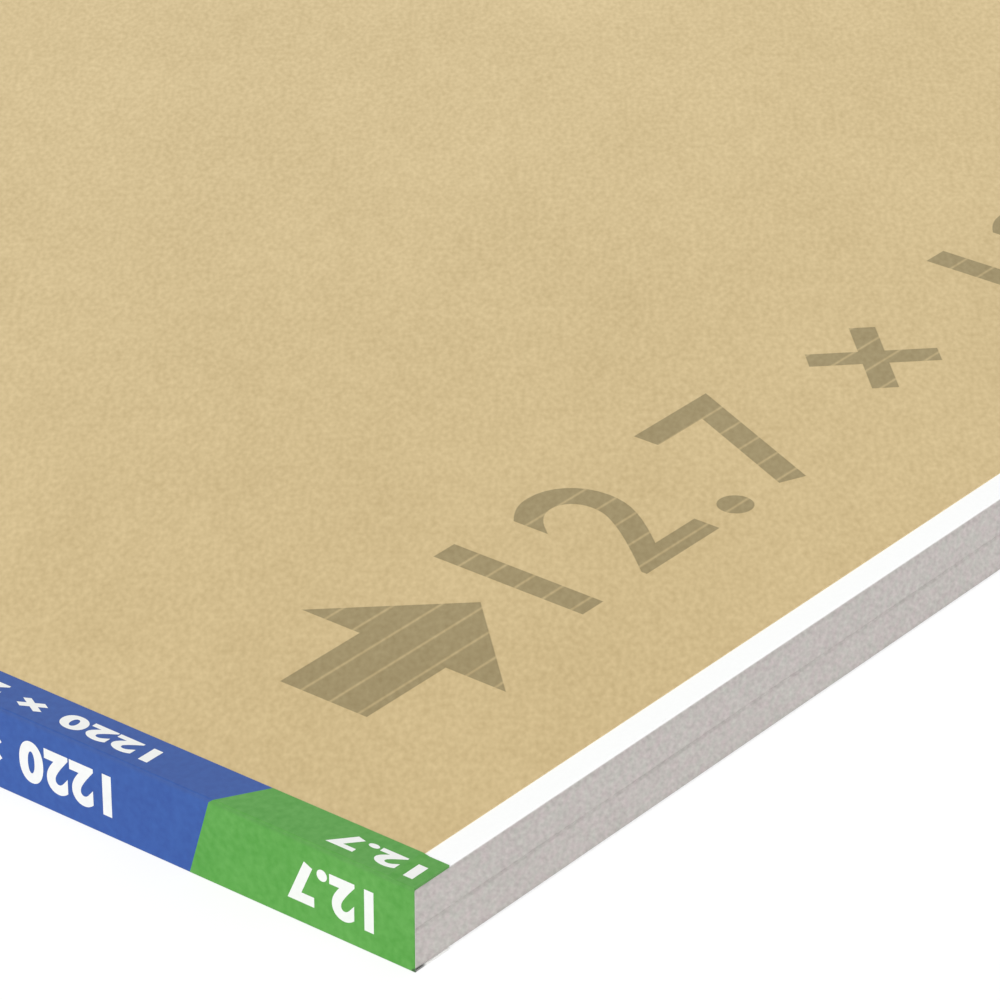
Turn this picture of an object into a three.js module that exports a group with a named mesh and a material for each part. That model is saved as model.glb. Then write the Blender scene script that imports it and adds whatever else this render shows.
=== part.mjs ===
// Drywall sheet: a gypsum core in two papers, with printed tape over both cut ends.
// Millimetres, +Z up. The sheet lies with its back up, its length along X and its width along Y.
// The origin is the middle of the footprint, on the surface that the sheet lies on.

import * as THREE from "three";

// ---- Driving dimensions (mm) ----

// Board
const boardLength = 2440;
const boardWidth = 1220;
const boardThickness = 12.7;
const coreArris = 0.1;

// Face paper: lies under the core, wraps both long edges and turns onto the back
const facePaper = 0.3;
const faceFlap = 28;

// Back paper: stops short of the long edges and leaves a margin of the flap bare
const backPaper = 0.2;
const bareMargin = 4.4;

// Crease along the middle of each long edge
const creaseWidth = 0.6;
const creaseDepth = 0.1;

// End tape: covers a cut end and laps onto both faces
const endTape = 0.2;
const tapeLap = 7;
const tapeStep = 1.2;

// Facets
const arcSteps = 5;

// ---- Levels and offsets shared by the pieces that meet ----

const halfLength = boardLength / 2;
const halfWidth = boardWidth / 2;
const backTop = boardThickness;
const flapTop = backTop - backPaper;
const flapUnder = flapTop - facePaper;
const flapEnd = halfWidth - faceFlap;
const backEdge = halfWidth - bareMargin;
const creaseLevel = flapTop / 2;

// ---- Materials ----

const gypsum = new THREE.MeshStandardMaterial({ color: 0xe6e2d9, roughness: 0.95, metalness: 0 });
const ivoryPaper = new THREE.MeshStandardMaterial({ color: 0xeceae5, roughness: 0.85, metalness: 0 });
const kraftPaper = new THREE.MeshStandardMaterial({ color: 0xd3bd8e, roughness: 0.9, metalness: 0 });
const printedTape = new THREE.MeshStandardMaterial({ color: 0x4366ad, roughness: 0.55, metalness: 0 });

// ---- Shape helpers ----

// Points of a quarter circle about (u, v), from one angle to the next quarter on.
function quarterArc(u, v, radius, startAngle) {
  const points = [];
  for (let i = 0; i <= arcSteps; i += 1) {
    const angle = startAngle + (i / arcSteps) * (Math.PI / 2);
    points.push([u + radius * Math.cos(angle), v + radius * Math.sin(angle)]);
  }
  return points;
}

// Closed solid through a row of stations. Each station holds the same number of 3-D points,
// counter-clockwise when seen from the far end, and outline is the first one's flat shape.
function loft(stations, outline) {
  const count = outline.length;
  const positions = stations.flat(2);
  const indices = [];
  for (let s = 0; s < stations.length - 1; s += 1) {
    for (let i = 0; i < count; i += 1) {
      const a = s * count + i;
      const b = s * count + ((i + 1) % count);
      indices.push(a, b, b + count, a, b + count, a + count);
    }
  }
  const flat = outline.map(([u, v]) => new THREE.Vector2(u, v));
  const last = (stations.length - 1) * count;
  for (const [a, b, c] of THREE.ShapeUtils.triangulateShape(flat, [])) {
    indices.push(c, b, a, last + a, last + b, last + c);
  }
  const shared = new THREE.BufferGeometry();
  shared.setAttribute("position", new THREE.Float32BufferAttribute(positions, 3));
  shared.setIndex(indices);
  const geometry = shared.toNonIndexed();
  geometry.computeVertexNormals();
  return geometry;
}

// A cross-section of the board, as [y, z] points, carried from one cut end to the other. The
// lines across it at the tape's laps leave the bare length between them as a face of its own.
function alongBoard(section) {
  const lines = [-halfLength, tapeLap - halfLength, halfLength - tapeLap, halfLength];
  return loft(lines.map((x) => section.map(([y, z]) => [x, y, z])), section);
}

// The right half of a section, given from bottom to top, closed by its mirror image.
function mirrored(rightHalf) {
  const leftHalf = rightHalf.map(([y, z]) => [-y, z]).reverse();
  return [...rightHalf, ...leftHalf];
}

// ---- Core ----

// Outline of the right long edge at a depth inside the face paper: bottom arris, edge with
// its crease, and top arris. The core and the inside of the face paper share the line.
function edgeLine(depth) {
  const radius = coreArris + facePaper - depth;
  const side = halfWidth - depth;
  return [
    ...quarterArc(side - radius, depth + radius, radius, -Math.PI / 2),
    [side, creaseLevel - creaseWidth / 2],
    [side - creaseDepth, creaseLevel],
    [side, creaseLevel + creaseWidth / 2],
    ...quarterArc(side - radius, flapTop - depth - radius, radius, 0),
  ];
}

const coreEdge = edgeLine(facePaper);
const coreSection = mirrored([...coreEdge, [flapEnd, flapUnder], [flapEnd, flapTop]]);
const core = new THREE.Mesh(alongBoard(coreSection), gypsum);
core.name = "gypsum_core";

// ---- Face paper ----

// One wrapper: its outer line runs up the right edge and onto the back, and its inner line
// returns on the core.
const paperOuter = [...edgeLine(0), [flapEnd, flapTop]];
const paperInner = [[flapEnd, flapUnder], ...coreEdge.toReversed()];
const leftInner = paperInner.map(([y, z]) => [-y, z]).reverse();
const leftOuter = paperOuter.map(([y, z]) => [-y, z]).reverse();
const faceSection = [...paperOuter, ...paperInner, ...leftInner, ...leftOuter];
const face = new THREE.Mesh(alongBoard(faceSection), ivoryPaper);
face.name = "face_paper";

// ---- Back paper ----

const backSection = mirrored([[backEdge, flapTop], [backEdge, backTop]]);
const back = new THREE.Mesh(alongBoard(backSection), kraftPaper);
back.name = "back_paper";

// ---- End tape ----

// Section of the tape at one place across the width, as [x, z] points about the cut end at
// x = 0 with the board towards +x: a fold over each arris and a lap on each face.
function tapeSection(top) {
  return [
    [tapeLap, 0],
    [0, 0],
    [0, top],
    [tapeLap, top],
    [tapeLap, top + endTape],
    ...quarterArc(0, top, endTape, Math.PI / 2),
    ...quarterArc(0, 0, endTape, Math.PI),
    [tapeLap, -endTape],
  ];
}

// Height of the board's back at each station across the width: the tape ramps from the back
// paper down to the bare margin of the flap.
const tapeLevels = [
  [halfWidth, flapTop],
  [backEdge + tapeStep, flapTop],
  [backEdge, backTop],
  [-backEdge, backTop],
  [-backEdge - tapeStep, flapTop],
  [-halfWidth, flapTop],
];

const tapeStations = tapeLevels.map(([y, top]) => tapeSection(top).map(([x, z]) => [x, y, z]));
const tapeGeometry = loft(tapeStations, tapeSection(flapTop));

const leftTape = new THREE.Mesh(tapeGeometry, printedTape);
leftTape.name = "left_end_tape";
leftTape.position.x = -halfLength;

const rightTape = new THREE.Mesh(tapeGeometry, printedTape.clone());
rightTape.name = "right_end_tape";
rightTape.position.x = halfLength;
rightTape.rotation.z = Math.PI;

// ---- Assembly: the tape's lower laps rest on the floor ----

const sheet = new THREE.Group();
sheet.name = "drywall_sheet";
sheet.position.z = endTape;
sheet.add(core, face, back, leftTape, rightTape);

export default sheet;
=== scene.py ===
import math

import bmesh
import bpy
import numpy as np
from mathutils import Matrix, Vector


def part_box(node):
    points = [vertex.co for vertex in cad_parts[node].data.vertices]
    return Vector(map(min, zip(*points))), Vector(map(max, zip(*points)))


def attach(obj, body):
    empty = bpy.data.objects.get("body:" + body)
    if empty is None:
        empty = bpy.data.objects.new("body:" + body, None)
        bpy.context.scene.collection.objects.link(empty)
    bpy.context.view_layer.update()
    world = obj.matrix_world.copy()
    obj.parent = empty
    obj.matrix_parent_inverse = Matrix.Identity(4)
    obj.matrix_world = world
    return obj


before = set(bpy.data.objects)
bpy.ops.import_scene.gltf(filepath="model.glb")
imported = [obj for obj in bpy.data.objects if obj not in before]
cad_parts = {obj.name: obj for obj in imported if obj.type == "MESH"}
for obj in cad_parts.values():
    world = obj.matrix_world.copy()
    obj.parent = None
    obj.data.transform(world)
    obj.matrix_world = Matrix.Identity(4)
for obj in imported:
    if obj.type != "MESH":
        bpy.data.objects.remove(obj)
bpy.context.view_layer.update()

mm = 0.001
print("frame loaded: drywall sheet")


def linear(hexColour):  # an sRGB hex value to linear RGBA
    parts = [int(hexColour[i : i + 2], 16) / 255 for i in (1, 3, 5)]
    return (*[p / 12.92 if p <= 0.04045 else ((p + 0.055) / 1.055) ** 2.4 for p in parts], 1.0)


white = linear("#ffffff")


def addNode(tree, kind, settings=None, links=None):  # one node, with its settings and links
    node = tree.nodes.new(kind)
    for name, value in (settings or {}).items():
        if isinstance(name, int) or name in node.inputs:
            node.inputs[name].default_value = value
        else:
            setattr(node, name, value)
    for name, socket in (links or {}).items():
        tree.links.new(socket, node.inputs[name])
    return node


def newMaterial(name, roughness, gloss):  # a shader wired to its output, and where the point lies
    material = bpy.data.materials.new(name)
    material.use_nodes = True
    tree = material.node_tree
    tree.nodes.clear()
    shader = addNode(
        tree, "ShaderNodeBsdfPrincipled", {"Roughness": roughness, "Specular IOR Level": gloss}
    )
    addNode(tree, "ShaderNodeOutputMaterial", links={"Surface": shader.outputs["BSDF"]})
    coords = addNode(tree, "ShaderNodeTexCoord")
    return material, tree, shader, coords


# The sum of several grains about one half. Each grain is its size in metres, its share of the
# swing and how many finer layers it holds. The first one is also given back, for the relief.
def grainLevel(tree, place, grains):
    level, finest = None, None
    middle = 0.5 - sum(share for size, share, layers in grains) / 2
    for size, share, layers in grains:
        noise = addNode(
            tree, "ShaderNodeTexNoise", {"Scale": 1 / size, "Detail": layers}, {"Vector": place}
        ).outputs["Fac"]
        step = addNode(
            tree, "ShaderNodeMath", {"operation": "MULTIPLY_ADD", 1: share, 2: middle}, {0: noise}
        )
        if level is None:
            finest = noise
        else:
            tree.links.new(level, step.inputs[2])
        level = step.outputs[0]
    return level, finest


def dress(node, material):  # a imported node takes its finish
    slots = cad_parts[node].data.materials
    slots.clear()
    slots.append(material)


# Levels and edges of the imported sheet, in metres
backLow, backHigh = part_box("back_paper")
faceLow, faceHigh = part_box("face_paper")
tapeLow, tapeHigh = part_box("left_end_tape")
kraftLevel = float(backHigh[2])
flapLevel = float(faceHigh[2])
underLevel = float(faceLow[2])
endPlane = float(faceLow[0])  # the cut end itself, under the tape
edgePlane = float(faceLow[1])  # the long edge on the near side
tapeFilm = float(endPlane - tapeLow[0])
lapWidth = float(tapeHigh[0] - endPlane)
bareMargin = float(backLow[1] - edgePlane)
middleLevel = (flapLevel + underLevel) / 2

kraft = {
    "dark": "#bfa97b",  # thick stock
    "pale": "#ebd6a8",  # thin stock
    "grains": (  # size, share of the swing, finer layers
        (0.8 * mm, 0.63, 0.9),  # flecks of fibre
        (2.8 * mm, 0.2, 1.0),
        (18.0 * mm, 0.24, 2.0),  # clouds
        (170.0 * mm, 0.20, 2.0),  # slow drift of the stock
    ),
    "lean": 38.0,  # degrees, of the flecks to the length
    "drawnOut": 1.8,  # a fleck's length to its width
    "rim": 220 * mm,  # how far in from the rims the painted shade reaches
    # painted shade: the tint it darkens to, and its share along the ends and along the sides
    "rimTint": "#f8f5ee",
    "rimEnds": 0.42,
    "rimSides": 0.58,
    "cutEdge": 0.35,  # raw fibre where the paper was slit is paler, and it is painted lighter still against the shade on those faces
    "cutFacing": (0.9, 0.5),  # how far up a face looks where that begins and where it is full
    "roughness": 0.9,
    "gloss": 0.2,
    "relief": 0.05 * mm,
    "reliefShown": 0.35,
    "ink": "#c4c7c6",  # what the print lets back of the paper's light
    "squeeze": 1.1,  # the plate squeezes more ink out to its rim
    "squeezeAt": 0.45,  # where on the rim, from its outline inwards
    "hairPitch": 5.08 * mm,  # hairlines that the print roller leaves, along the length
    "hairWidth": 0.42 * mm,
    "hairInk": 0.5,  # how much of the ink a hairline still has
    "hairStart": 18.5 * mm,
}


# Unbleached kraft liner, machine made and calendered: matt tan, with flecks that lean with the
# twill of the forming wire, soft clouds where the stock lay thicker, and painted shade that
# darkens it towards the rims. The printed kind is the same paper under olive ink, which is thin
# on the outline, thick just inside it, and half missing along the roller's hairlines.
def kraftMaterial(name, printed):
    material, tree, shader, coords = newMaterial(name, kraft["roughness"], kraft["gloss"])
    place = coords.outputs["Object"]
    leaning = addNode(
        tree,
        "ShaderNodeMapping",
        {
            "vector_type": "TEXTURE",
            "Rotation": (0, 0, math.radians(kraft["lean"])),
            "Scale": (kraft["drawnOut"], 1, 1),
        },
        {"Vector": place},
    ).outputs["Vector"]
    level, flecks = grainLevel(tree, leaning, kraft["grains"])
    axes = addNode(tree, "ShaderNodeSeparateXYZ", links={"Vector": place})
    # painted shade, darker towards the cut ends and the long sides
    rims = (("X", -endPlane, kraft["rimEnds"]), ("Y", -edgePlane, kraft["rimSides"]))
    shades = []
    for axis, reach, share in rims:
        off = addNode(tree, "ShaderNodeMath", {"operation": "ABSOLUTE"}, {0: axes.outputs[axis]})
        shade = addNode(
            tree,
            "ShaderNodeMapRange",
            {
                "interpolation_type": "SMOOTHSTEP",
                "From Min": reach - kraft["rim"],
                "From Max": reach,
                "To Max": share,
            },
            {"Value": off.outputs[0]},
        )
        shades.append(shade.outputs["Result"])
    rimShade = addNode(
        tree, "ShaderNodeMath", {"operation": "ADD"}, {0: shades[0], 1: shades[1]}
    ).outputs[0]
    facing = addNode(tree, "ShaderNodeSeparateXYZ", links={"Vector": coords.outputs["Normal"]})
    # paler on faces that look sideways: raw slit fibre, and painted light against their shade
    rawAndLit = addNode(
        tree,
        "ShaderNodeMapRange",
        {
            "From Min": kraft["cutFacing"][0],
            "From Max": kraft["cutFacing"][1],
            "To Max": kraft["cutEdge"],
        },
        {"Value": facing.outputs["Z"]},
    )
    level = addNode(
        tree, "ShaderNodeMath", {"operation": "ADD"}, {0: level, 1: rawAndLit.outputs["Result"]}
    ).outputs[0]
    colour = addNode(
        tree,
        "ShaderNodeMix",
        {"data_type": "RGBA", 6: linear(kraft["dark"]), 7: linear(kraft["pale"])},
        {"Factor": level},
    ).outputs[2]
    tone = addNode(
        tree,
        "ShaderNodeMix",
        {"data_type": "RGBA", 6: white, 7: linear(kraft["rimTint"])},
        {"Factor": rimShade},
    ).outputs[2]
    colour = addNode(
        tree, "ShaderNodeVectorMath", {"operation": "MULTIPLY"}, {0: colour, 1: tone}
    ).outputs[0]
    if printed:
        shifted = addNode(
            tree,
            "ShaderNodeMath",
            {"operation": "SUBTRACT", 1: edgePlane + kraft["hairStart"]},
            {0: axes.outputs["Y"]},
        )
        fromHair = addNode(
            tree,
            "ShaderNodeMath",
            {"operation": "PINGPONG", 1: kraft["hairPitch"] / 2},
            {0: shifted.outputs[0]},
        )
        hair = addNode(
            tree,
            "ShaderNodeMapRange",
            {
                "interpolation_type": "SMOOTHSTEP",
                "From Max": kraft["hairWidth"],
                "To Min": kraft["hairInk"],
            },
            {"Value": fromHair.outputs[0]},
        )
        inked = addNode(tree, "ShaderNodeAttribute", {"attribute_name": "inked"}).outputs["Fac"]
        outer = addNode(
            tree,
            "ShaderNodeMapRange",
            {"From Max": kraft["squeezeAt"], "To Max": kraft["squeeze"]},
            {"Value": inked},
        )
        inner = addNode(
            tree,
            "ShaderNodeMapRange",
            {"From Min": kraft["squeezeAt"], "To Min": 0.0, "To Max": 1 - kraft["squeeze"]},
            {"Value": inked},
        )
        film = addNode(
            tree,
            "ShaderNodeMath",
            {"operation": "ADD"},
            {0: outer.outputs["Result"], 1: inner.outputs["Result"]},
        )
        cover = addNode(
            tree,
            "ShaderNodeMath",
            {"operation": "MULTIPLY"},
            {0: film.outputs[0], 1: hair.outputs["Result"]},
        )
        ink = addNode(
            tree,
            "ShaderNodeMix",
            {"data_type": "RGBA", "clamp_factor": False, 6: white, 7: linear(kraft["ink"])},
            {"Factor": cover.outputs[0]},
        )
        colour = addNode(
            tree, "ShaderNodeVectorMath", {"operation": "MULTIPLY"}, {0: colour, 1: ink.outputs[2]}
        ).outputs[0]
    tree.links.new(colour, shader.inputs["Base Color"])
    relief = addNode(
        tree,
        "ShaderNodeBump",
        {"Strength": kraft["reliefShown"], "Distance": kraft["relief"]},
        {"Height": flecks},
    )
    tree.links.new(relief.outputs["Normal"], shader.inputs["Normal"])
    return material


kraftPaper = kraftMaterial("unbleached kraft liner", False)
kraftInk = kraftMaterial("olive print on kraft liner", True)
dress("back_paper", kraftPaper)
print("kraft back paper ready")

cornerShadow = {  # painted contact shadow at the sheet's near lower corner, where it meets the floor
    "radii": (2.4 * mm, 0.6 * mm, 0.55 * mm),
    "solid": 0.6,  # share of the radii that is fully dark
    "left": 0.3,  # share of the light that comes back from it
}


# A colour under the painted shadow: darker inside an ellipsoid about the corner of the cut end.
def cornerShadowed(tree, place, colour):
    about = addNode(
        tree,
        "ShaderNodeMapping",
        {
            "vector_type": "TEXTURE",
            "Location": (endPlane, edgePlane, underLevel),
            "Scale": cornerShadow["radii"],
        },
        {"Vector": place},
    )
    away = addNode(
        tree, "ShaderNodeVectorMath", {"operation": "LENGTH"}, {0: about.outputs["Vector"]}
    )
    left = addNode(
        tree,
        "ShaderNodeMapRange",
        {"interpolation_type": "SMOOTHSTEP", "From Min": cornerShadow["solid"], "To Min": cornerShadow["left"]},
        {"Value": away.outputs["Value"]},
    )
    return addNode(
        tree,
        "ShaderNodeVectorMath",
        {"operation": "SCALE"},
        {0: colour, "Scale": left.outputs["Result"]},
    ).outputs[0]


facePaper = {
    "white": "#fefffe",
    "bandDarkShaded": "#c1bcbc",  # the long edges' paper: rubbed, and darkened with painted shade
    "bandPaleShaded": "#f5f1f1",
    "pinkFibre": "#f3e6e8",
    "greenFibre": "#e6efe4",
    "grains": ((0.62 * mm, 0.86, 1.0), (7.0 * mm, 0.15, 1.0)),
    "fibreGrain": 1.4 * mm,
    "lean": 34.5,  # degrees, of the flecks on the long edges to the length
    "drawnOut": 1.8,  # a fleck's length to its width
    "arris": 0.25 * mm,  # the grey of rubbing and painted shade gives way to white this far inside each arris
    "arrisFull": 0.4,  # and is all white at this share of it
    "whiteCloud": 40.0 * mm,  # faint clouds in the white lining
    "cloudLayers": 3.0,
    "whiteSwing": 0.03,
    "whiteSpan": (0.5, 1.5),  # flecks and clouds added up, from the dullest white to the cleanest
    "roughness": 0.85,
    "gloss": 0.2,
    "relief": 0.04 * mm,
    "reliefShown": 0.3,
    "arrisRub": 0.14,  # the arrises take the most rubbing
    "arrisRun": 1.6 * mm,
    "crease": 0.43 * mm,  # half the width of the line of painted shade
    "creaseShade": 0.29,
    "creaseShadeSwing": 0.25,  # how far it comes and goes, as a share of itself
    "creaseShadeDrop": 0.185 * mm,  # it sits lower, on the lower lip, which the groove's own shape leaves lighter
    "creaseShadeRun": 2.6 * mm,  # length over which the painted shade comes and goes
}


# White-lined face paper: bright and smooth where it turns onto the back and underneath, and a
# speckled warm grey along the long edges, which stacking rubs and which also carries painted
# shade. The crease along the middle of each edge has an uneven line of painted shade.
def facePaperMaterial():
    material, tree, shader, coords = newMaterial(
        "white lined face paper", facePaper["roughness"], facePaper["gloss"]
    )
    place = coords.outputs["Object"]
    height = addNode(tree, "ShaderNodeSeparateXYZ", links={"Vector": place}).outputs["Z"]
    leaning = addNode(
        tree,
        "ShaderNodeMapping",
        {
            "vector_type": "TEXTURE",
            "Rotation": (0, math.radians(facePaper["lean"]), 0),
            "Scale": (facePaper["drawnOut"], 1, 1),
        },
        {"Vector": place},
    ).outputs["Vector"]
    level, flecks = grainLevel(tree, leaning, facePaper["grains"])
    off = addNode(tree, "ShaderNodeMath", {"operation": "SUBTRACT", 1: middleLevel}, {0: height})
    far = addNode(tree, "ShaderNodeMath", {"operation": "ABSOLUTE"}, {0: off.outputs[0]})
    # painted shade in the crease, darkest at its line and uneven along it
    below = addNode(
        tree, "ShaderNodeMath", {"operation": "ADD", 1: facePaper["creaseShadeDrop"]}, {0: off.outputs[0]}
    )
    fromCreaseShade = addNode(tree, "ShaderNodeMath", {"operation": "ABSOLUTE"}, {0: below.outputs[0]})
    near = addNode(
        tree,
        "ShaderNodeMapRange",
        {
            "interpolation_type": "SMOOTHSTEP",
            "From Max": facePaper["crease"],
            "To Min": 1.0,
            "To Max": 0.0,
        },
        {"Value": fromCreaseShade.outputs[0]},
    )
    patchy = addNode(
        tree, "ShaderNodeTexNoise", {"Scale": 1 / facePaper["creaseShadeRun"]}, {"Vector": place}
    )
    amount = addNode(
        tree,
        "ShaderNodeMapRange",
        {
            "To Min": facePaper["creaseShade"] * (1 - facePaper["creaseShadeSwing"]),
            "To Max": facePaper["creaseShade"] * (1 + facePaper["creaseShadeSwing"]),
        },
        {"Value": patchy.outputs["Fac"]},
    )
    creaseShade = addNode(
        tree,
        "ShaderNodeMath",
        {"operation": "MULTIPLY"},
        {0: near.outputs["Result"], 1: amount.outputs["Result"]},
    )
    reach = (flapLevel - underLevel) / 2
    rubbed = addNode(
        tree,
        "ShaderNodeMapRange",
        {
            "interpolation_type": "SMOOTHSTEP",
            "From Min": reach - facePaper["arrisRun"],
            "From Max": reach,
            "To Max": facePaper["arrisRub"],
        },
        {"Value": far.outputs[0]},
    )
    for loss in (creaseShade.outputs[0], rubbed.outputs["Result"]):
        level = addNode(
            tree, "ShaderNodeMath", {"operation": "SUBTRACT"}, {0: level, 1: loss}
        ).outputs[0]
    grey = addNode(
        tree,
        "ShaderNodeMix",
        {"data_type": "RGBA", 6: linear(facePaper["bandDarkShaded"]), 7: linear(facePaper["bandPaleShaded"])},
        {"Factor": level},
    ).outputs[2]
    dyed = addNode(
        tree, "ShaderNodeTexNoise", {"Scale": 1 / facePaper["fibreGrain"]}, {"Vector": place}
    )
    tint = addNode(
        tree,
        "ShaderNodeMix",
        {"data_type": "RGBA", 6: linear(facePaper["pinkFibre"]), 7: linear(facePaper["greenFibre"])},
        {"Factor": dyed.outputs["Fac"]},
    ).outputs[2]
    rubbedShadedBand = addNode(tree, "ShaderNodeVectorMath", {"operation": "MULTIPLY"}, {0: grey, 1: tint})
    cloud = addNode(
        tree,
        "ShaderNodeTexNoise",
        {"Scale": 1 / facePaper["whiteCloud"], "Detail": facePaper["cloudLayers"]},
        {"Vector": place},
    )
    lining = addNode(
        tree, "ShaderNodeMath", {"operation": "ADD"}, {0: flecks, 1: cloud.outputs["Fac"]}
    )
    swing = addNode(
        tree,
        "ShaderNodeMapRange",
        {
            "From Min": facePaper["whiteSpan"][0],
            "From Max": facePaper["whiteSpan"][1],
            "To Min": 1 - facePaper["whiteSwing"],
            "To Max": 1.0,
        },
        {"Value": lining.outputs[0]},
    )
    clean = addNode(
        tree,
        "ShaderNodeVectorMath",
        {"operation": "SCALE", 0: linear(facePaper["white"])[:3]},
        {"Scale": swing.outputs["Result"]},
    )
    # the grey stops at the two arrises, the same way up and down from the middle
    turnedOver = addNode(
        tree,
        "ShaderNodeMapRange",
        {
            "From Min": reach - facePaper["arris"],
            "From Max": reach - facePaper["arris"] * facePaper["arrisFull"],
        },
        {"Value": far.outputs[0]},
    )
    colour = addNode(
        tree,
        "ShaderNodeMix",
        {"data_type": "RGBA"},
        {"Factor": turnedOver.outputs["Result"], 6: rubbedShadedBand.outputs[0], 7: clean.outputs[0]},
    )
    tree.links.new(cornerShadowed(tree, place, colour.outputs[2]), shader.inputs["Base Color"])
    relief = addNode(
        tree,
        "ShaderNodeBump",
        {"Strength": facePaper["reliefShown"], "Distance": facePaper["relief"]},
        {"Height": flecks},
    )
    tree.links.new(relief.outputs["Normal"], shader.inputs["Normal"])
    return material


dress("face_paper", facePaperMaterial())
print("face paper ready")

gypsum = {
    "dark": "#cfcac0",
    "pale": "#fbf8f0",
    "grains": ((0.8 * mm, 0.9, 4.0), (9.0 * mm, 0.3, 1.0)),
    "roughness": 0.95,
    "gloss": 0.2,
    "relief": 0.1 * mm,
    "reliefShown": 0.5,
}


# Cast gypsum plaster: chalky off-white with fine pores. The papers and the tape hide it.
def gypsumMaterial():
    material, tree, shader, coords = newMaterial(
        "cast gypsum plaster", gypsum["roughness"], gypsum["gloss"]
    )
    level, pores = grainLevel(tree, coords.outputs["Object"], gypsum["grains"])
    colour = addNode(
        tree,
        "ShaderNodeMix",
        {"data_type": "RGBA", 6: linear(gypsum["dark"]), 7: linear(gypsum["pale"])},
        {"Factor": level},
    )
    tree.links.new(colour.outputs[2], shader.inputs["Base Color"])
    relief = addNode(
        tree,
        "ShaderNodeBump",
        {"Strength": gypsum["reliefShown"], "Distance": gypsum["relief"]},
        {"Height": pores},
    )
    tree.links.new(relief.outputs["Normal"], shader.inputs["Normal"])
    return material


dress("gypsum_core", gypsumMaterial())
print("gypsum core ready")

tape = {
    "blue": ("#023c8c", "#2255a2"),  # dark and pale ends of the mottle
    "green": ("#368b18", "#5da246"),
    "white": ("#eceeea", "#f7f7f5"),
    "bare": "#f8f7f4",  # unprinted paper: the cut edges and the side that is glued down
    "bareFacing": 0.9,  # how squarely such a face looks sideways or inwards
    "grains": ((1.1 * mm, 1.0, 2.0), (7.0 * mm, 0.3, 1.0)),
    "roughness": 0.45,
    "gloss": 0.5,
    "relief": 0.03 * mm,
    "reliefShown": 0.25,
    # painted shade at the folds and on the end: its colour, then its shares
    "shadeColour": "#404040",
    "whiteEndShade": 0.12,  # how much of the painted shade shows in the end's white figures
    "foldShade": 0.15,  # and in every colour at the upper fold
    "foldRun": 0.9 * mm,
    "foldFacing": 0.3,  # how far the fold has turned down where its painted shade is full
    "lapShade": 0.27,  # share of the fold's painted shade that the upper lap has
    "ink": 0.012 * mm,  # how far a print stands off what it is on
    "greenBody": 0.8,  # share of that which the green is thick
    "greenEnd": (  # down the tape from the upper fold, and in from the long edge
        (-7.0 * mm, 30.0 * mm),
        (0.0, 34.1 * mm),
        (0.8 * mm, 35.05 * mm),
        (20.4 * mm, 41.0 * mm),
    ),
    "overEdge": (  # down the tape, and how far the green is pressed over onto the long edge
        (0.0, 0.38 * mm),
        (0.5 * mm, 0.14 * mm),
        (13.2 * mm, 0.14 * mm),
        (13.6 * mm, -0.04 * mm),  # and here it stops short of it
    ),
    "ramp": 1.2 * mm,  # the tape comes down from the kraft to the bare margin over this
    "columns": 48,  # of the green's grid, past the ramp
    "lapSteps": 8,
    "foldSteps": 6,
    "endSteps": 26,
}


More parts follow.
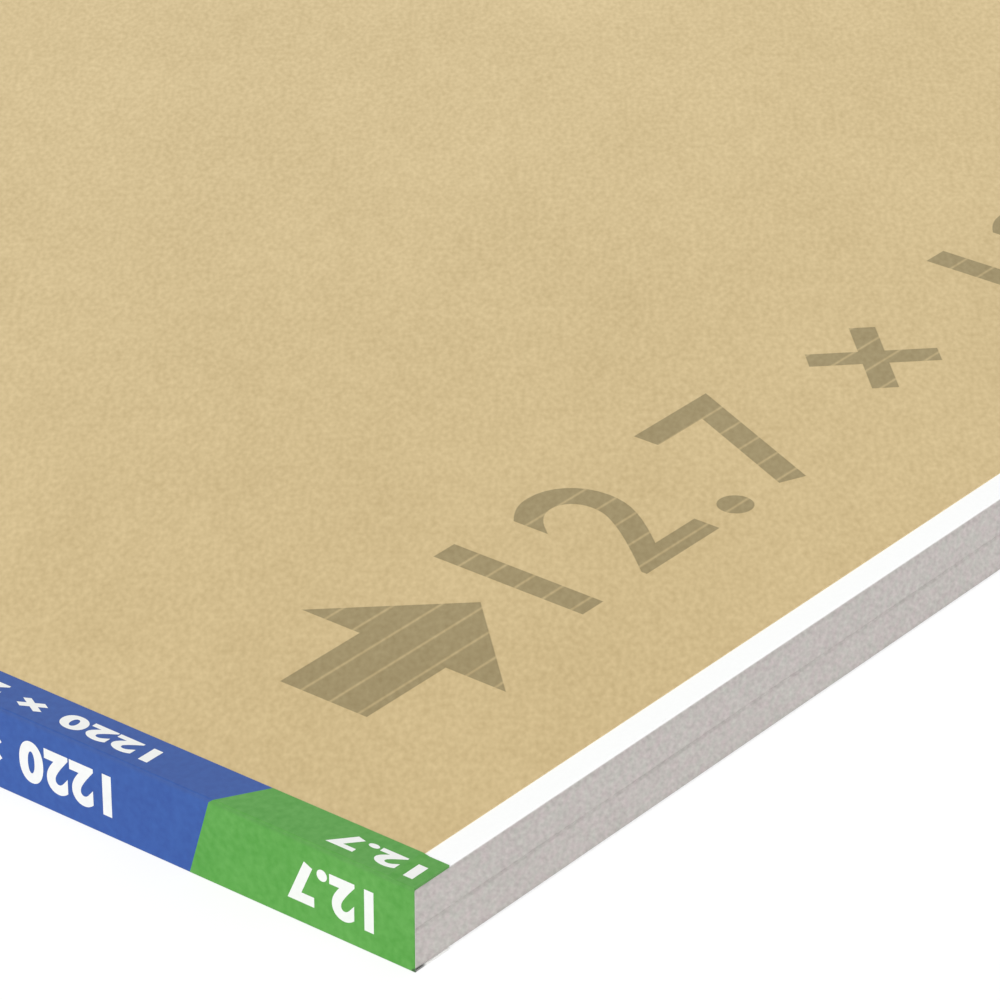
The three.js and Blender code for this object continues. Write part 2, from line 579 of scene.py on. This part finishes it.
# Paper tape, roller printed: a satin film of ink with the faint mottle of uneven pressure.
# Its cut edges and its glued side are bare white paper, told by which way a face looks.
def tapeMaterial(name, colours, printed=False, endShade=0.0):
    material, tree, shader, coords = newMaterial(name, tape["roughness"], tape["gloss"])
    place = coords.outputs["Object"]
    level, mottle = grainLevel(tree, place, tape["grains"])
    colour = addNode(
        tree,
        "ShaderNodeMix",
        {"data_type": "RGBA", 6: linear(colours[0]), 7: linear(colours[1])},
        {"Factor": level},
    ).outputs[2]
    facing = addNode(tree, "ShaderNodeSeparateXYZ", links={"Vector": coords.outputs["Normal"]})
    height = addNode(tree, "ShaderNodeSeparateXYZ", links={"Vector": place}).outputs["Z"]
    if not printed:
        sideways = addNode(
            tree, "ShaderNodeMath", {"operation": "ABSOLUTE"}, {0: facing.outputs["Y"]}
        )
        # the glued side of a lap looks up below the middle, and down above it
        above = addNode(
            tree, "ShaderNodeMath", {"operation": "SUBTRACT", 1: middleLevel}, {0: height}
        )
        side = addNode(tree, "ShaderNodeMath", {"operation": "SIGN"}, {0: above.outputs[0]})
        inward = addNode(
            tree,
            "ShaderNodeMath",
            {"operation": "MULTIPLY"},
            {0: side.outputs[0], 1: facing.outputs["Z"]},
        )
        glued = addNode(
            tree,
            "ShaderNodeMath",
            {"operation": "LESS_THAN", 1: -tape["bareFacing"]},
            {0: inward.outputs[0]},
        )
        cut = addNode(
            tree,
            "ShaderNodeMath",
            {"operation": "GREATER_THAN", 1: tape["bareFacing"]},
            {0: sideways.outputs[0]},
        )
        bare = addNode(
            tree, "ShaderNodeMath", {"operation": "MAXIMUM"}, {0: glued.outputs[0], 1: cut.outputs[0]}
        )
        colour = addNode(
            tree,
            "ShaderNodeMix",
            {"data_type": "RGBA", 7: linear(tape["bare"])},
            {"Factor": bare.outputs[0], 6: colour},
        ).outputs[2]
    # painted shade: darker on the end, most of all just below the upper fold, and a little on the lap
    nearFoldShade = addNode(
        tree,
        "ShaderNodeMapRange",
        {
            "interpolation_type": "SMOOTHSTEP",
            "From Min": kraftLevel - tape["foldRun"],
            "From Max": kraftLevel,
            "To Min": endShade,
            "To Max": tape["foldShade"],
        },
        {"Value": height},
    )
    steep = addNode(tree, "ShaderNodeMath", {"operation": "ABSOLUTE"}, {0: facing.outputs["X"]})
    upright = addNode(
        tree,
        "ShaderNodeMapRange",
        {"From Max": tape["foldFacing"], "To Min": tape["lapShade"]},
        {"Value": steep.outputs[0]},
    )
    shadeShare = addNode(
        tree,
        "ShaderNodeMath",
        {"operation": "MULTIPLY"},
        {0: nearFoldShade.outputs["Result"], 1: upright.outputs["Result"]},
    )
    colour = addNode(
        tree,
        "ShaderNodeMix",
        {"data_type": "RGBA", 7: linear(tape["shadeColour"])},
        {"Factor": shadeShare.outputs[0], 6: colour},
    ).outputs[2]
    tree.links.new(cornerShadowed(tree, place, colour), shader.inputs["Base Color"])
    relief = addNode(
        tree,
        "ShaderNodeBump",
        {"Strength": tape["reliefShown"], "Distance": tape["relief"]},
        {"Height": mottle},
    )
    tree.links.new(relief.outputs["Normal"], shader.inputs["Normal"])
    return material


blueTape = tapeMaterial("blue printed paper tape", tape["blue"])
greenInk = tapeMaterial("green print on paper tape", tape["green"], True)
whiteInk = tapeMaterial("white print on paper tape", tape["white"], True, tape["whiteEndShade"])
dress("left_end_tape", blueTape)
dress("right_end_tape", blueTape)


# A mesh from its places and faces, on the sheet's body. The other end's pieces are the same
# ones after half a turn about the upright axis.
def addPiece(name, places, faces, material, otherEnd=False):
    if otherEnd:
        places = places * np.array([-1.0, -1.0, 1.0])
    mesh = bpy.data.meshes.new(name)
    mesh.from_pydata(places.tolist(), [], [tuple(map(int, face)) for face in faces])
    mesh.validate()
    mesh.materials.append(material)
    piece = bpy.data.objects.new(name, mesh)
    bpy.context.scene.collection.objects.link(piece)
    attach(piece, "root")
    return piece


# Level of the board's back at a distance from the long edge: the bare margin's, then a ramp up
# to the kraft's. The tape on it follows the same line.
def backLevel(fromEdge):
    rampFoot = bareMargin - tape["ramp"]
    return np.interp(fromEdge, [rampFoot, bareMargin], [flapLevel, kraftLevel])


# The green length of the tape is a grid. Its rows follow the tape's section: from the edge of
# the upper lap to the first fold, a quarter circle over it, down the end, a quarter circle, and
# out under the lower lap. Its columns go from the long edge, which the first of them is pressed
# over, through the foot and the head of the ramp, to a slanted line. That line, and how far the
# green is pressed over, run straight between the points given for them, against the distance
# travelled down the section from the upper fold. Where it isn't pressed over but stops short, the
# first two columns lie that far and twice that far in.
def addGreenLength(name, otherEnd):
    turn = np.linspace(0, math.pi / 2, tape["foldSteps"] + 1)
    radius = tapeFilm + tape["ink"]
    lap = np.linspace(lapWidth, 0, tape["lapSteps"] + 1)[:-1]
    descent = np.linspace(0, 1, tape["endSteps"] + 1)[1:-1]
    flat, level, bend = 0 * lap, 0 * descent, 0 * turn
    outX = np.concatenate([flat, -np.sin(turn), level - 1, -np.cos(turn), flat])
    outZ = np.concatenate([flat + 1, np.cos(turn), level, -np.sin(turn), flat - 1])
    inwards = np.concatenate([lap, bend, level, bend, lap[::-1]])
    down = np.concatenate([flat, bend, descent, bend + 1, flat + 1])
    fold, height = radius * turn, kraftLevel - underLevel
    travel = np.concatenate(
        [
            -lap,
            fold,
            fold[-1] + height * descent,
            fold[-1] + height + fold,
            2 * fold[-1] + height + lap[::-1],
        ]
    )
    reach = np.interp(travel, *np.transpose(tape["greenEnd"]))
    over = np.interp(travel, *np.transpose(tape["overEdge"]))[:, None]
    margin = np.maximum(over * (-1, -2), -tape["ink"])
    rampFoot = np.full(over.shape, bareMargin - tape["ramp"])
    along = np.linspace(0, 1, tape["columns"])
    y = bareMargin + along * (reach[:, None] - bareMargin)
    y = np.concatenate([margin, rampFoot, y], 1)
    stand = np.full(y.shape, radius)
    stand[:, :1] -= np.maximum(over, 0)
    x = inwards[:, None] + stand * outX[:, None]
    top = backLevel(y)
    z = top - (top - underLevel) * down[:, None] + stand * outZ[:, None]
    places = np.stack([endPlane + x, edgePlane + y, z], -1).reshape(-1, 3)
    rows, columns = y.shape
    corner = (np.arange(rows - 1)[:, None] * columns + np.arange(columns - 1)).ravel()
    faces = np.stack([corner, corner + 1, corner + columns + 1, corner + columns], 1)
    piece = addPiece(name, places, faces, greenInk, otherEnd)
    skin = piece.modifiers.new("ink", "SOLIDIFY")
    skin.thickness = tape["ink"] * tape["greenBody"]
    skin.offset = -1  # towards the tape


addGreenLength("green_length_left", False)
addGreenLength("green_length_right", True)
print("end tape ready")

film = {  # levels of an ink film, as shares of its thickness
    "foot": 0.3,  # what it rests on, clear of the paper's own surface
    "rim": 0.3,
}

figures = {
    "spacing": 1.12,
    "curveSteps": 8,
    "weld": 1e-5,  # joins the fill to its walls, as a share of the type size
    "onBack": "12.7 × 1220 × 2440",
    "onTape": (  # piece, figures, and how far from the long edge they start
        ("thickness", "12.7", 6.8 * mm),
        ("size", "1220 × 2440", 52.6 * mm),
    ),
    "tapeWeight": 0.042,  # how much the strokes are thickened, as a share of the type size
    "tapeRim": 0.006,  # width of the rim where the ink thins out, as a share of the type size
    "endHeight": 6.6 * mm,
    "endTop": 3.2 * mm,  # from the upside-down figures' feet to the level of the kraft
    "lapHeight": 3.45 * mm,
    "lapFeet": 4.8 * mm,  # from the cut end to the feet of the lap's figures
    "lapStretch": 1.9,  # they are squat, because the lap is narrow
    "lapShift": -5.2 * mm,  # keeps the first one on the low margin
    "backWeight": 0.006,
    "backRim": 0.009,
    "backHeight": 28 * mm,
    "backStart": (69.5 * mm, 26 * mm),  # from the cut end and from the long edge
}


# Flat figures with their height made 1: a text curve's outline, filled and chamfered, then scaled
# by its own height so that its lower left corner is the origin. The chamfer has four levels, and
# they become the film's: its foot and outline on the paper, a thin rim, and the full film.
def figureOutline(words, weight, rim):
    curve = bpy.data.curves.new("figures", "FONT")
    curve.body = words
    curve.offset = weight
    curve.space_character = figures["spacing"]
    curve.extrude = rim
    curve.bevel_depth = rim
    curve.bevel_resolution = 0
    curve.resolution_u = figures["curveSteps"]
    holder = bpy.data.objects.new("figures", curve)
    bpy.context.scene.collection.objects.link(holder)
    bpy.context.view_layer.update()
    filled = holder.evaluated_get(bpy.context.evaluated_depsgraph_get())
    mesh = bpy.data.meshes.new_from_object(filled)
    body = bmesh.new()
    body.from_mesh(mesh)
    bmesh.ops.remove_doubles(body, verts=body.verts, dist=figures["weld"])
    bmesh.ops.recalc_face_normals(body, faces=body.faces)
    bmesh.ops.beautify_fill(body, faces=body.faces, edges=body.edges)  # turns slivers' long edges
    body.to_mesh(mesh)
    body.free()
    places = np.empty(len(mesh.vertices) * 3)
    mesh.vertices.foreach_get("co", places)
    places = places.reshape(-1, 3)
    faces = [tuple(face.vertices) for face in mesh.polygons]
    bpy.data.objects.remove(holder)
    bpy.data.meshes.remove(mesh)
    low, high = places.min(0), places.max(0)
    places[:, :2] = (places[:, :2] - low[:2]) / (high[1] - low[1])
    places[:, 2] = np.interp(places[:, 2], [-rim, rim, 2 * rim], [0, film["rim"], 1])
    return places, faces


# A print in the plane of two directions: start plus the first coordinate along one, the second
# along the other, and the film's share of the ink's thickness straight out of both. On the lap it
# comes down with the tape. How thick it is past its rim goes with it, for the ink's colour.
def addPrint(name, flat, faces, start, along, up, material, otherEnd=False):
    along, up = np.array(along, float), np.array(up, float)
    stand = tape["ink"] * (film["foot"] + (1 - film["foot"]) * flat[:, 2:])
    places = np.array(start) + flat[:, :1] * along + flat[:, 1:2] * up + stand * np.cross(along, up)
    if start[2] > kraftLevel:
        places[:, 2] += backLevel(places[:, 1] - edgePlane) - kraftLevel
    piece = addPiece(name, places, faces, material, otherEnd)
    inked = piece.data.attributes.new("inked", "FLOAT", "POINT")
    share = (flat[:, 2] - film["rim"]) / (1 - film["rim"])
    inked.data.foreach_set("value", share.clip(0, 1).astype(np.float32))


for label, words, fromEdge in figures["onTape"]:
    flat, faces = figureOutline(words, figures["tapeWeight"], figures["tapeRim"])
    for side, otherEnd in (("left", False), ("right", True)):
        size = figures["endHeight"]
        start = (
            endPlane - tapeFilm - tape["ink"],
            edgePlane + fromEdge,
            kraftLevel - figures["endTop"],
        )
        addPrint(
            f"{label}_on_end_{side}",
            flat * [size, size, 1],
            faces,
            start,
            (0, 1, 0),
            (0, 0, -1),
            whiteInk,
            otherEnd,
        )
        size = figures["lapHeight"]
        start = (
            endPlane + figures["lapFeet"],
            edgePlane + fromEdge + figures["lapShift"],
            kraftLevel + tapeFilm + tape["ink"],
        )
        addPrint(
            f"{label}_on_lap_{side}",
            flat * [size * figures["lapStretch"], size, 1],
            faces,
            start,
            (0, 1, 0),
            (-1, 0, 0),
            whiteInk,
            otherEnd,
        )

flat, faces = figureOutline(figures["onBack"], figures["backWeight"], figures["backRim"])
size = figures["backHeight"]
start = (endPlane + figures["backStart"][0], edgePlane + figures["backStart"][1], kraftLevel)
flat = flat * [size, size, 1]
addPrint("size_on_back", flat, faces, start, (1, 0, 0), (0, 1, 0), kraftInk)

arrow = {
    "start": (29 * mm, 40 * mm),  # middle of the shaft's end, from the cut end and the long edge
    "shaft": 17 * mm,
    "length": 34.5 * mm,
    "halfShaft": 7.8 * mm,
    "halfHead": 18.5 * mm,
    "rim": 0.35 * mm,
}


# A plain arrow along the length: seven corners, mirrored about its middle line. The film is three
# rings of them: the foot, the thin rim, and the full film moved inwards by the rim's width. A
# corner moves along the sum of its two edges' inward normals over one plus their dot product.
def arrowOutline():
    half = np.array(
        [
            (0, arrow["halfShaft"]),
            (arrow["shaft"], arrow["halfShaft"]),
            (arrow["shaft"], arrow["halfHead"]),
        ]
    )
    tip = [(arrow["length"], 0)]
    outline = np.concatenate([half * (1, -1), tip, half[::-1]])
    edge = np.roll(outline, -1, 0) - outline
    inward = np.column_stack([-edge[:, 1], edge[:, 0]]) / np.linalg.norm(edge, axis=1)[:, None]
    before = np.roll(inward, 1, 0)
    corner = (inward + before) / (1 + (inward * before).sum(1))[:, None]
    count = len(outline)
    rings = ((outline, 0), (outline, film["rim"]), (outline + arrow["rim"] * corner, 1))
    places = np.concatenate([np.column_stack([ring, np.full(count, top)]) for ring, top in rings])
    walls = [
        (ring + i, ring + (i + 1) % count, ring + (i + 1) % count + count, ring + i + count)
        for ring in (0, count)
        for i in range(count)
    ]
    return places, [tuple(range(count))[::-1], tuple(range(2 * count, 3 * count)), *walls]


flat, faces = arrowOutline()
start = (endPlane + arrow["start"][0], edgePlane + arrow["start"][1], kraftLevel)
addPrint("arrow_on_back", flat, faces, start, (1, 0, 0), (0, 1, 0), kraftInk)
print("figures ready")

studio = {
    "sky": 0.5,
    "sun": 2.35,
    "sunTowards": (-1.0, -0.3),  # where the sun stands, seen from above
    "sunHeight": 42.0,
    "sunSoftness": 40.0,
    "floorSize": 14.0,
    "floorLevel": -0.03 * mm,  # just clear of the tape's lower laps
    "floor": "#f2f2f2",
    "floorShown": 0.35,  # share of the lit floor, with its shadow, in what the camera sees
    "floorGlow": 1.1,
}


# The light that a camera or a glossy ray meets is white, and any other ray meets the plain one.
def seenDirectly(tree):
    rays = addNode(tree, "ShaderNodeLightPath").outputs
    glossy = addNode(
        tree,
        "ShaderNodeMath",
        {"operation": "MAXIMUM"},
        {0: rays["Is Glossy Ray"], 1: rays["Is Transmission Ray"]},
    )
    return addNode(
        tree,
        "ShaderNodeMath",
        {"operation": "MAXIMUM"},
        {0: rays["Is Camera Ray"], 1: glossy.outputs[0]},
    ).outputs[0]


# Pale studio floor: flat paint that takes the sheet's soft shadow, and shows nearly white.
def addFloor():
    half = studio["floorSize"] / 2
    mesh = bpy.data.meshes.new("floor")
    corners = [(-half, -half), (half, -half), (half, half), (-half, half)]
    mesh.from_pydata([(x, y, studio["floorLevel"]) for x, y in corners], [], [(0, 1, 2, 3)])
    floor = bpy.data.objects.new("floor", mesh)
    bpy.context.scene.collection.objects.link(floor)
    material = bpy.data.materials.new("pale studio floor")
    material.use_nodes = True
    tree = material.node_tree
    tree.nodes.clear()
    paint = addNode(tree, "ShaderNodeBsdfDiffuse", {"Color": linear(studio["floor"])})
    glow = addNode(tree, "ShaderNodeEmission", {"Strength": studio["floorGlow"]})
    both = addNode(
        tree,
        "ShaderNodeMixShader",
        {0: studio["floorShown"]},
        {1: glow.outputs[0], 2: paint.outputs[0]},
    )
    shown = addNode(
        tree,
        "ShaderNodeMixShader",
        links={0: seenDirectly(tree), 1: paint.outputs[0], 2: both.outputs[0]},
    )
    addNode(tree, "ShaderNodeOutputMaterial", links={"Surface": shown.outputs[0]})
    mesh.materials.append(material)


# White sky: an even light, and full white where it is seen.
def addSky():
    world = bpy.data.worlds.new("studio")
    bpy.context.scene.world = world
    world.use_nodes = True
    tree = world.node_tree
    tree.nodes.clear()
    strength = addNode(
        tree,
        "ShaderNodeMapRange",
        {"To Min": studio["sky"], "To Max": 1.0},
        {"Value": seenDirectly(tree)},
    )
    glow = addNode(
        tree, "ShaderNodeBackground", {"Color": white}, {"Strength": strength.outputs["Result"]}
    )
    addNode(tree, "ShaderNodeOutputWorld", links={"Surface": glow.outputs[0]})


# One broad, soft sun, which gives the two edges and the back their tones.
def addSun():
    lamp = bpy.data.lights.new("soft sun", "SUN")
    lamp.energy = studio["sun"]
    lamp.angle = math.radians(studio["sunSoftness"])
    sun = bpy.data.objects.new("soft sun", lamp)
    east, north = studio["sunTowards"]
    sun.rotation_euler = (0, math.radians(90 - studio["sunHeight"]), math.atan2(north, east))
    bpy.context.scene.collection.objects.link(sun)


addFloor()
addSky()
addSun()
print("studio ready")

view = {
    "lens": 184.744,
    "sensor": 36.0,
    "clip": (0.01, 100.0),
    "fromCorner": (-427.92 * mm, -354.34 * mm, 368.24 * mm),  # from the sheet's near lower corner
    "heading": 38.502,  # of the line of sight, from +X towards +Y
    "dip": 28.298,  # of the line of sight below the horizon
}
lens = bpy.data.cameras.new("camera")
lens.lens = view["lens"]
lens.sensor_width = view["sensor"]
lens.clip_start, lens.clip_end = view["clip"]
camera = bpy.data.objects.new("camera", lens)
camera.location = np.array([endPlane, edgePlane, underLevel]) + np.array(view["fromCorner"])
camera.rotation_euler = (math.radians(90 - view["dip"]), 0, math.radians(view["heading"] - 90))
bpy.context.scene.collection.objects.link(camera)
bpy.context.scene.camera = camera
bpy.context.scene.view_settings.view_transform = "Standard"

print("scene ready")
